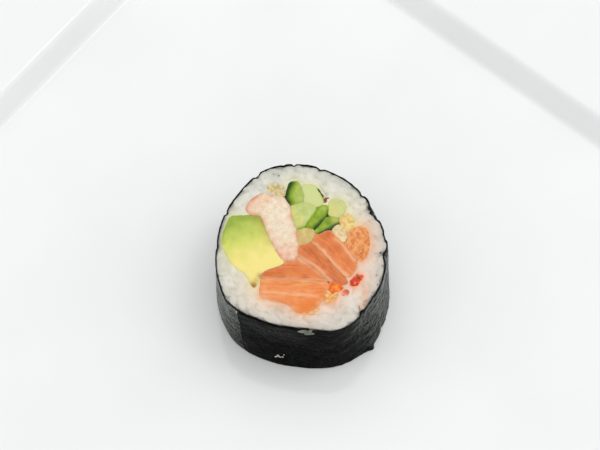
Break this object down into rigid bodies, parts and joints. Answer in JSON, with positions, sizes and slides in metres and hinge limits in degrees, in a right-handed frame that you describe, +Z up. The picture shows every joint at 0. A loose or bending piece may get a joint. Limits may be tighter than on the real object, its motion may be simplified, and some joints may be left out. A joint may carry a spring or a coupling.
{
  "type": "futomaki slice on a plate",
  "caption": "Thick sushi roll slice in nori with salmon, avocado, crab stick, cucumber and roe, lying cut face up in a square white plate.",
  "frame": {"origin": "middle of the plate's footprint, on the surface it stands on", "axes": "+Z up; X and Y along the plate's sides; the camera of the picture looks from +X and -Y towards -X and +Y"},
  "size_m": [0.305, 0.305, 0.0355],
  "materials": {
    "porcelain": "white gloss glaze",
    "nori": "black-green seaweed sheet, damp, with a dull sheen",
    "rice": "cooked white rice, moist and slightly see-through",
    "crab_stick": "white fibrous crab stick with a thin pink-red skin",
    "avocado": "soft buttery flesh, green by the skin and yellow inside",
    "cucumber": "wet pale green flesh with dark green skin",
    "salmon": "raw orange-pink salmon with white fat lines, wet",
    "tempura": "crisp yellow batter flakes",
    "orange_roe": "glossy orange fish roe",
    "red_roe": "glossy red fish roe"
  },
  "bodies": {
    "root": {"plate": "porcelain", "nori": "nori", "rice": "rice", "surimi": "crab_stick", "avocado": "avocado", "cucumber_1": "cucumber", "cucumber_2": "cucumber", "cucumber_3": "cucumber", "cucumber_4": "cucumber", "cucumber_5": "cucumber", "cucumber_6": "cucumber", "cucumber_7": "cucumber", "salmon_1": "salmon", "salmon_2": "salmon", "salmon_3": "salmon", "salmon_4": "salmon", "tempura_flakes_1": "tempura", "tempura_flakes_2": "tempura", "tempura_flakes_3": "tempura", "tempura_flakes_4": "tempura", "roe_1": "orange_roe", "roe_2": "orange_roe", "roe_3": "red_roe", "roe_4": "red_roe"}
  },
  "joints": []
}
